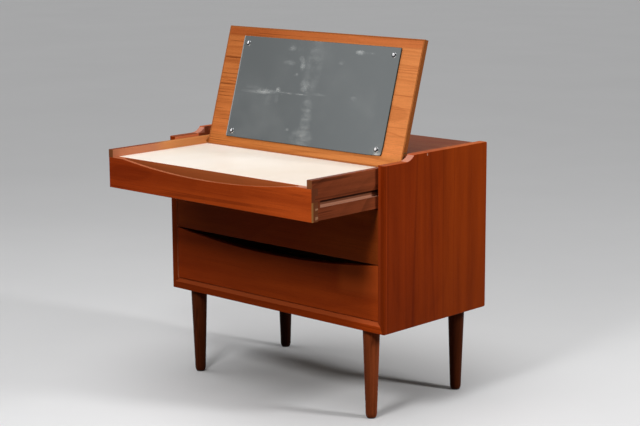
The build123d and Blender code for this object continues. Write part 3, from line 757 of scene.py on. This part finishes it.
class VANITY_OT_case(bpy.types.Operator):
    """Finish the case: sides, rail, fixed top, bottom, back, runners and dowels"""

    bl_idname = "vanity.case"
    bl_label = "Case"

    def execute(self, context):
        wood = context.scene.vanity_wood
        cover(right_side_teak(wood), "right_side_panel")
        cover(left_side_teak(wood), "left_side_panel")
        cover(rail_teak(wood), "front_rail")
        top = teak(
            "case_top", "xyz", wood.top_pale, wood.case_deep, offset=(0.9, 0.1, 0.0),
            pith=0.12, flame=0.15, spacing=0.013, streaks=0.45, lines=0.25, polish=0.36, gloss=0.14,
        )
        cover(top, "fixed_top")
        cover(plain_wood("case_ply", "xzy", wood.plain_pale, 0.45), "back_panel")
        cover(plain_wood("case_bottom_ply", "xyz", wood.plain_pale, 0.45), "bottom_panel")
        runners = [
            side + "_" + drawer + "_runner"
            for side in ("left", "right") for drawer in ("vanity", "middle", "lower")
        ]
        cover(plain_wood("runner_wood", "yxz", wood.plain_pale), *runners)
        cover(plain_wood("dowel_wood", "xyz", wood.plain_pale), "top_dowels", "bottom_dowels")
        return {"FINISHED"}


class VANITY_OT_legs(bpy.types.Operator):
    """Finish the four turned legs with their bolts and glides"""

    bl_idname = "vanity.legs"
    bl_label = "Legs"

    def execute(self, context):
        wood = context.scene.vanity_wood
        # Painted light and shade: each leg's teak is made lighter or darker by its own factor, for the
        # light that reaches it under the case.
        leg_lighting = {"front_left": 0.58, "front_right": 1.65, "rear_left": 0.11, "rear_right": 0.4}
        for number, (corner, shade) in enumerate(leg_lighting.items()):
            pale = scaled(wood.leg_pale, shade)
            turned = teak(
                "leg_" + corner, "zxy", pale, scaled(pale, 0.42),
                offset=(0.7 * number, 0.13 * number, 0.05 * number), pith=0.03, spacing=0.006,
                streaks=0.6, lines=0.4, hairs=0.5, polish=0.42,
            )
            cover(turned, corner + "_leg")
        cover(metal("bolt_steel", (0.56, 0.56, 0.57), 0.34), "leg_bolts", "runner_screws")
        # The glides are painted near black, painted shade for the shadow under the feet.
        nylon = speckled("glide_nylon", (0.035, 0.028, 0.024), (0.09, 0.075, 0.065), 300.0, 3.0,
                         (0.4, 0.75), (0.45, 0.65), 0.0001)
        cover(nylon, "leg_glides")
        return {"FINISHED"}


def storage_front_teak(wood, drawer, number, left, middle, right, touches=()):
    """A storage front's teak with painted light and shade: tinted toward its left, its right half and its
    right end for the light that falls there, and painted shade on faces that look upward, which lie in
    the top drawer's shadow.
    """
    redder = (1.0, 0.97, 0.92)
    return teak(
        drawer + "_front_teak", "xzy", scaled(wood.front_pale, *redder), scaled(wood.front_deep, *redder),
        offset=(0.5 + 1.3 * number, 0.02, 0.1 * number), pith=0.25, flame=0.34 + 0.13 * number,
        spacing=0.013, streaks=0.45, lines=0.15, hairs=0.15, polish=0.38, worn=(0.12, 0.02, 0.006),
        touches=[
            drift("x", 0.0, 0.36, (1.06, 1.04, 1.1)), drift("x", 0.322, 0.352, right),
            drift("x", 0.0, -0.34, left), drift("x", 0.05, 0.28, middle), *touches,
        ],
    )


class VANITY_OT_storage_drawers(bpy.types.Operator):
    """Finish the two storage drawers"""

    bl_idname = "vanity.storage_drawers"
    bl_label = "Storage drawers"

    def execute(self, context):
        wood = context.scene.vanity_wood
        # Painted light: the lower front's upper right is painted paler where the top drawer's shadow
        # would fall.
        painted_light_corner = patch((0.66, 0.11, 0.018), 0.5, 0.035, x=(0.25, None),
                            z=(lower_front_high[2] - 0.0605, None))
        lower = storage_front_teak(wood, "lower", 0, (0.98, 0.9, 0.86), (1.0, 1.0, 1.0),
                                   (1.16, 1.18, 1.18), [painted_light_corner])
        upper = storage_front_teak(wood, "middle", 1, (0.74, 0.84, 1.0), (1.12, 1.4, 1.45),
                                   (0.7, 0.74, 0.75))
        for drawer, front in (("lower", lower), ("middle", upper)):
            cover(front, drawer + "_drawer_front")
            sides = plain_wood(drawer + "_drawer_wood", "yzx", wood.plain_pale)
            cover(sides, drawer + "_drawer_left_side", drawer + "_drawer_right_side")
            cover(plain_wood(drawer + "_back_wood", "xzy", wood.plain_pale), drawer + "_drawer_back")
            bottom = plain_wood(drawer + "_bottom_ply", "xyz", wood.plain_pale, 0.5)
            cover(bottom, drawer + "_drawer_bottom")
        return {"FINISHED"}


def top_front_teak(wood):
    """Teak of the top front: painted light toward its right end and painted shade toward its left, a
    painted highlight on faces that look upward such as the lip, painted light and shade in the finger
    pocket, and dovetails in its right end.
    """
    end = (front_high[0] - 0.0005, None)
    return teak(
        "top_front_teak", "xzy", wood.front_pale, wood.front_deep, offset=(2.9, 0.05, 0.2),
        pith=0.22, flame=0.56, spacing=0.013, streaks=0.62, lines=0.28, hairs=0.5, polish=0.38,
        worn=(0.46, 0.18, 0.085), touches=[
            # Painted light: lighter toward the right end, darker toward the left end.
            drift("x", 0.08, 0.34, (1.38, 1.52, 1.74)),
            drift("x", -0.05, -0.34, (0.98, 0.84, 0.8)),
            # Painted light and shade on the pocket's back wall: paler near the top, darker lower down.
            patch((0.46, 0.155, 0.05), 0.5, 0.0003, y=pocket_wall,
                  z=(top_high - 0.0235, top_high - 0.0005)),
            patch((0.3, 0.07, 0.018), 0.4, 0.005, y=pocket_wall,
                  z=(top_high - 0.0335, top_high - 0.0105)),
            # The lip's painted highlight fades toward the right.
            *(patch((0.3, 0.055, 0.009), strength, 0.0004, x=(start, None), y=lip_top,
                    z=(joint_high, None)) for start, strength in ((0.02, 0.45), (0.12, 0.5))),
            patch((0.14, 0.04, 0.017), 0.9, 0.0004, x=end, z=(joint_high + 0.0005, None)),
            patch((0.16, 0.05, 0.018), 0.9, 0.0004, x=end, z=(None, joint_high)),
            patch((0.36, 0.16, 0.05), 0.9, 0.0006, x=end, y=(None, top_front + 0.0053),
                  z=(None, joint_high)),
        ],
    )


def rimmed_side_teak(wood, number, name, side, touches=()):
    """Teak of a top drawer's side: inner face painted paler as painted light, a paler groove with a
    painted highlight on its lower face and a painted shadow under its lip, and dovetails in front.
    """
    floor = sorted((side * 0.3495, side * 0.3572))
    groove = {"x": floor, "y": (groove_start, None)}
    tails = {"y": (None, front_high[1] - 0.0003)}
    return teak(
        "top_drawer_" + name, "yzx", wood.rim_pale, scaled(wood.rim_pale, 0.36),
        offset=(0.4 + 0.9 * number, 0.03, 0.0), pith=0.2, flame=0.5, spacing=0.007,
        streaks=0.6, lines=0.35, hairs=0.6, polish=0.42, touches=[
            # Painted light: the inner face, which looks over the board, is painted paler.
            inward(side, (0.54, 0.21, 0.105), 0.95),
            drift("y", -0.05, -0.31, (0.86, 0.8, 0.78)),
            *touches,
            patch((0.26, 0.085, 0.03), 0.85, 0.0006, y=(None, top_front + 0.0008),
                  z=(top_high + 0.001, None)),
            patch((0.26, 0.095, 0.048), 0.9, 0.0004, z=(groove_low, groove_high), **groove),
            # A painted highlight on the groove's lower face, and a painted shadow under its upper lip.
            patch((0.62, 0.3, 0.19), 0.9, 0.0012, z=(groove_low - 0.0004, groove_low + 0.004),
                  **groove),
            patch((0.04, 0.01, 0.004), 0.95, 0.001, z=(groove_high - 0.0062, groove_high + 0.0006),
                  **groove),
            patch((0.18, 0.06, 0.026), 0.8, 0.0004, z=(None, joint_high), **tails),
            *(patch((0.5, 0.24, 0.13), 0.8, 0.0006, z=(joint_high - low, joint_high - high), **tails)
              for low, high in ((0.0235, 0.0145), (0.0425, 0.034))),
        ],
    )


class VANITY_OT_top_drawer(bpy.types.Operator):
    """Finish the top drawer: front, rimmed sides, board and its ledges, bushes"""

    bl_idname = "vanity.top_drawer"
    bl_label = "Top drawer"

    def execute(self, context):
        wood = context.scene.vanity_wood
        cover(top_front_teak(wood), "vanity_drawer_front")
        # Painted light: the left side's inner face above the board is painted warmer and paler toward the
        # rear.
        painted_light_rear = patch((0.76, 0.31, 0.095), 0.75, 0.07, x=(-0.35, None), y=(-0.11, None),
                          z=(0.6, None))
        cover(rimmed_side_teak(wood, 0, "left", -1, [painted_light_rear]), "vanity_drawer_left_side")
        cover(rimmed_side_teak(wood, 1, "right", 1), "vanity_drawer_right_side")
        back = teak(
            "top_drawer_back", "xzy", wood.rim_pale, scaled(wood.rim_pale, 0.36), offset=(1.4, 0.0, 0.3),
            pith=0.06, flame=0.55, spacing=0.008, streaks=0.5, lines=0.6, polish=0.45,
        )
        cover(back, "vanity_drawer_back")
        cover(laminate((0.98, 0.9, 0.81)), "dressing_board")
        cover(plain_wood("ledge_wood", "yxz", wood.plain_pale), "board_ledges")
        cover(metal("bush_brass", brass, 0.28), "pivot_bushes")
        return {"FINISHED"}


def lid_teak(wood):
    """Striped veneer of the lid, painted lighter toward the right for the light that falls there.  Here y
    is the height up the lid.
    """
    dusk = (0.62, 0.46, 0.38)
    thin_lines = seams("x", "y", 0.307, [
        (0.238, 0.01, 0.0009, 0.6, dusk), (0.2315, 0.01, 0.0007, 0.45, dusk),
        (0.244, 0.02, 0.0006, 0.35, dusk), (0.175, 0.0, 0.0007, 0.6, dusk),
        (0.144, -0.03, 0.0008, 0.45, dusk), (0.14, -0.01, 0.0006, 0.35, dusk),
        (0.095, 0.02, 0.001, 0.4, dusk), (0.078, -0.15, 0.0012, 0.4, dusk),
    ])
    return teak(
        "lid_veneer", "xyz", wood.lid_pale, wood.lid_deep, offset=(0.6, 0.0, 0.0), pith=0.16,
        flame=0.11, spacing=0.0135, streaks=0.4, lines=0.28, hairs=0.85, fade=(-0.3, 0.15, 0.22),
        lid=True, touches=[
            drift("x", -0.22, 0.34, (1.24, 1.34, 1.55)),
            drift("y", 0.289, 0.297, (0.84, 0.7, 0.66)), drift("y", 0.032, 0.016, (0.88, 0.92, 0.86)),
            drift("x", 0.1, -0.3, (0.97, 0.92, 0.88)), thin_lines,
        ],
    )


class VANITY_OT_lid(bpy.types.Operator):
    """Finish the lid: veneered panel, its edge strips, and the pivot plates"""

    bl_idname = "vanity.lid"
    bl_label = "Lid"

    def execute(self, context):
        wood = context.scene.vanity_wood
        cover(lid_teak(wood), "lid_panel")
        edge = teak(
            "lid_edge_teak", "xyz", scaled(wood.lid_pale, 0.62), wood.lid_deep, offset=(0.1, 0.2, 0.1),
            spacing=0.009, streaks=0.4, lines=0.3, hairs=0.4, lid=True,
        )
        cover(edge, "lid_lipping")
        cover(metal("pivot_brass", brass, 0.26), "left_pivot_plate", "right_pivot_plate", "pivot_screws")
        return {"FINISHED"}


class VANITY_OT_mirror(bpy.types.Operator):
    """Make the worn mirror with its ground edge and chipped corner"""

    bl_idname = "vanity.mirror"
    bl_label = "Mirror"

    def execute(self, context):
        sizes = context.scene.vanity_mirror
        arris = sizes.arris
        half, lower, upper, thick = glass_extent()
        outline = mirror_outline(half, lower, upper, sizes.corner, sizes.chip)
        centre = np.array((0.0, (lower + upper) / 2))
        # Profile of the edge as inset and height above the lid, from front to back.
        profile = np.array([
            (3 * arris, thick), (arris, thick), (0.35 * arris, thick - 0.3 * arris), (0.0, thick - arris),
            (0.0, arris), (0.35 * arris, 0.3 * arris), (arris, 0.0), (3 * arris, 0.0),
        ])
        # Each ring is the outline shrunk about the middle by its inset.
        extent = np.abs(outline - centre).max(axis=0)
        shrink = 1 - profile[:, None, 0:1] / extent
        rings = centre + (outline - centre) * shrink
        rows, columns = rings.shape[:2]
        heights = np.broadcast_to(profile[:, None, 1:2], (rows, columns, 1))
        band = grid_faces(rows, columns, wrap=True)
        front = list(range(columns))
        back = list(range((rows - 1) * columns, rows * columns))
        ring = band[:, 0] // columns
        ground = (ring >= 1) & (ring <= rows - 3)
        ground_edge = speckled("ground_glass_edge", (0.02, 0.028, 0.022), (0.075, 0.09, 0.075),
                               800.0, 2.0, (0.3, 0.8), (0.2, 0.45), 0.00005)
        make_piece(
            "mirror_plate", on_lid(np.concatenate([rings, heights], axis=-1)), [*band, front, back],
            [silvering(sizes.silver), ground_edge], "mirror_lid", "mirror_glass", 20,
            [*ground.astype(int), 0, 1],
        )
        return {"FINISHED"}


class VANITY_OT_mirror_caps(bpy.types.Operator):
    """Make the four domed chrome caps that hold the mirror"""

    bl_idname = "vanity.mirror_caps"
    bl_label = "Mirror caps"

    def execute(self, context):
        sizes = context.scene.vanity_mirror
        radius, rise, skirt = sizes.cap_radius, sizes.cap_rise, sizes.cap_skirt
        plug, plug_depth, seat, undercut, segments = 0.0018, 0.003, 0.0003, 0.0002, 48
        places = screw_places("mirror_screws", ((1.0, 0.0, 0.0), lid_up), 3 * radius)
        places = np.insert(places - (0.0, pivot @ lid_up), 2, glass_extent()[3], axis=1)
        # A cap is its profile turned about its axis: a plug down into the glass,
        # up the skirt, then an ellipse's quarter to the crown.
        turn = np.linspace(0, pi / 2, 15)
        reach = np.concatenate([[0.0, plug, plug, radius - seat, radius], radius * np.cos(turn)])
        level = np.concatenate(
            [[-plug_depth, -plug_depth, 0.0, 0.0, undercut], skirt + (rise - skirt) * np.sin(turn)]
        )
        around = np.linspace(0, 2 * pi, segments, endpoint=False)
        cap = np.stack([
            np.outer(reach, np.cos(around)), np.outer(reach, np.sin(around)),
            np.broadcast_to(level[:, None], (len(reach), segments)),
        ], axis=-1)
        make_piece(
            "mirror_caps", on_lid(cap + places[:, None, None, :]),
            copies(grid_faces(len(reach), segments, wrap=True), len(places)), [cap_chrome()],
            "mirror_lid", "mirror_screws", 35,
        )
        return {"FINISHED"}


class VANITY_OT_back_screws(bpy.types.Operator):
    """Make the slotted countersunk screws of the back panel"""

    bl_idname = "vanity.back_screws"
    bl_label = "Back screws"

    def execute(self, context):
        places = screw_places("back_panel_screws", ((1.0, 0.0, 0.0), (0.0, 0.0, 1.0)), 0.009)
        across, height = places.T[:, :, None, None]
        radius, shank, depth, slot, slot_depth = 0.0033, 0.0017, 0.02, 0.17, 0.0009
        # A square grid is pressed into a disc: x = a sqrt(1 - b^2 / 2) and
        # y = b sqrt(1 - a^2 / 2).  The slot is where a is small.  The underside
        # is a cone from the rim, and a shank where it is near the axis.
        half = [0.06, slot, slot + 0.01, 0.25, 0.4, 0.6, 0.8, 1.0]
        a = np.array([*[-part for part in reversed(half)], *half])
        b = np.linspace(-1, 1, 17)
        grid_a, grid_b = np.meshgrid(a, b, indexing="ij")
        disc_x = radius * grid_a * np.sqrt(1 - grid_b**2 / 2)
        disc_y = radius * grid_b * np.sqrt(1 - grid_a**2 / 2)
        reach = np.hypot(disc_x, disc_y)
        inner = reach < radius * 0.999
        cut = np.where(np.abs(grid_a) <= slot + 1e-6, slot_depth, 0.0) * inner
        under = np.maximum(np.where(reach < shank, depth, radius - reach), cut * 1.05) * inner
        turn = np.linspace(2.1, 20.3, len(places))[:, None, None]
        turned_x = np.cos(turn) * disc_x - np.sin(turn) * disc_y
        turned_z = np.sin(turn) * disc_x + np.cos(turn) * disc_y
        layers = [
            np.stack([
                across + turned_x, np.broadcast_to(back_high[1] - sink, turned_x.shape), height + turned_z
            ], axis=-1)
            for sink in (cut, under)
        ]
        make_piece(
            "back_screw_heads", np.stack(layers, axis=1),
            copies(grid_faces(len(a), len(b)), 2 * len(places)),
            [metal("screw_steel", (0.5, 0.49, 0.46), 0.32)],
            "carcase", "back_panel_screws", 30,
        )
        return {"FINISHED"}


def aim(thing, place, target):
    """Links a lamp to the scene at a place, looking at a target."""
    bpy.context.scene.collection.objects.link(thing)
    thing.location = place
    thing.rotation_euler = (Vector(target) - Vector(place)).to_track_quat("-Z", "Y").to_euler()


def soft_box(name, power, width, height, place, target):
    """A rectangular lamp."""
    lamp = bpy.data.lights.new(name, "AREA")
    lamp.shape = "RECTANGLE"
    lamp.size, lamp.size_y, lamp.energy = width, height, power
    thing = bpy.data.objects.new(name, lamp)
    aim(thing, place, target)
    return thing


def floor_finish(pale):
    """Pale matt floor.  Light that bounces off it is weaker than it looks."""
    finish = Finish("studio_floor")
    cloud = finish.noise(finish.place(), 1.3, 4.0, 0.6)
    camera, glossy, through = (
        finish.node("ShaderNodeLightPath", output=ray)
        for ray in ("Is Camera Ray", "Is Glossy Ray", "Is Transmission Ray")
    )
    seen = (camera + glossy + through).math("MINIMUM", 1.0)
    shown = finish.blend(pale, scaled(pale, 0.93), cloud)
    return finish.surface(
        base_color=finish.blend((0.09, 0.09, 0.092), shown, seen), roughness=0.65, specular_ior_level=0.2,
    )


class VANITY_OT_stage(bpy.types.Operator):
    """Set out the pale floor, the soft lamps, the surroundings and the camera"""

    bl_idname = "vanity.stage"
    bl_label = "Stage"

    def execute(self, context):
        scene = context.scene
        stage = scene.vanity_stage
        # The floor is a disc just under the feet.
        sink, segments = 0.0002, 64
        around = np.linspace(0, 2 * pi, segments, endpoint=False)
        rim = np.stack([np.cos(around), np.sin(around), 0 * around], axis=-1) * stage.floor_radius
        mesh = bpy.data.meshes.new("floor")
        mesh.from_pydata((rim - (0.0, 0.0, sink)).tolist(), [], [list(range(segments))])
        mesh.materials.append(floor_finish(stage.floor_colour))
        floor = bpy.data.objects.new("floor", mesh)
        scene.collection.objects.link(floor)

        sun = bpy.data.lights.new("ceiling_light", "SUN")
        sun.energy = stage.ceiling
        sun.angle = radians(50)
        aim(bpy.data.objects.new("ceiling_light", sun), (0.05, -0.17, 0.98), (0.0, 0.0, 0.0))
        above_board = (0.0, -0.1, 0.5)
        soft_box("side_soft_box", stage.side_power, 0.36, 0.5, (2.4, 0.85, 1.7), (0.3, 0.0, 0.45))
        soft_box("left_soft_box", stage.left_power, 1.2, 1.0, (-1.7, -0.6, 2.2), above_board)
        front = soft_box("front_soft_box", stage.front_power, 0.4, 0.4, (0.5, -1.45, 1.62), above_board)
        # The mirror shows the surroundings and not this lamp.
        front.visible_glossy = False

        world = bpy.data.worlds.new("surroundings")
        scene.world = world
        world.use_nodes = True
        background = world.node_tree.nodes["Background"]
        background.inputs["Color"].default_value = (0.97, 0.985, 1.0, 1.0)
        graph = Graph(world.node_tree)
        glossy = graph.node("ShaderNodeLightPath", output="Is Glossy Ray")
        strength = graph.node("ShaderNodeMapRange", inputs={
            "Value": glossy, "To Min": stage.ambient, "To Max": stage.reflected,
        })
        graph.feed(background.inputs["Strength"], strength)

        # The camera's picture is so many pixels wide, with a focal length in the same pixels.
        picture_width, focal_pixels = 640, 1682.66
        azimuth, elevation, roll = radians(43.308), radians(10.905), radians(-0.307)
        camera = bpy.data.cameras.new("camera")
        camera.sensor_width = 36.0
        camera.lens = focal_pixels / picture_width * camera.sensor_width
        camera.clip_end = 200
        viewer = bpy.data.objects.new("camera", camera)
        scene.collection.objects.link(viewer)
        viewer.matrix_world = (
            Matrix.Translation((2.957462, -3.040681, 1.28476)) @ Matrix.Rotation(azimuth, 4, "Z")
            @ Matrix.Rotation(pi / 2 - elevation, 4, "X") @ Matrix.Rotation(roll, 4, "Z")
        )
        scene.camera = viewer
        scene.view_settings.view_transform = "Standard"
        return {"FINISHED"}


class VANITY_PT_panel(bpy.types.Panel):
    """Lists the chest's pieces and settings"""

    bl_label = "Vanity chest"
    bl_idname = "VANITY_PT_panel"
    bl_space_type = "VIEW_3D"
    bl_region_type = "UI"
    bl_category = "Vanity chest"

    def draw(self, context):
        layout = self.layout
        for operator in operators:
            layout.operator(operator.bl_idname)
        for name, group in groups.items():
            box = layout.box()
            for setting in group.__annotations__:
                box.prop(getattr(context.scene, name), setting)


operators = (
    VANITY_OT_stage, VANITY_OT_case, VANITY_OT_legs, VANITY_OT_storage_drawers, VANITY_OT_top_drawer,
    VANITY_OT_lid, VANITY_OT_mirror, VANITY_OT_mirror_caps, VANITY_OT_back_screws,
)
groups = {"vanity_wood": VanityWood, "vanity_mirror": VanityMirror, "vanity_stage": VanityStage}
classes = (*groups.values(), *operators, VANITY_PT_panel)


def register():
    for made in classes:
        bpy.utils.register_class(made)
    for name, group in groups.items():
        setattr(bpy.types.Scene, name, bpy.props.PointerProperty(type=group))


def unregister():
    for name in groups:
        delattr(bpy.types.Scene, name)
    for made in reversed(classes):
        bpy.utils.unregister_class(made)


def main():
    register()
    for operator in operators:
        family, name = operator.bl_idname.split(".")
        getattr(getattr(bpy.ops, family), name)()


if __name__ == "__main__":
    main()
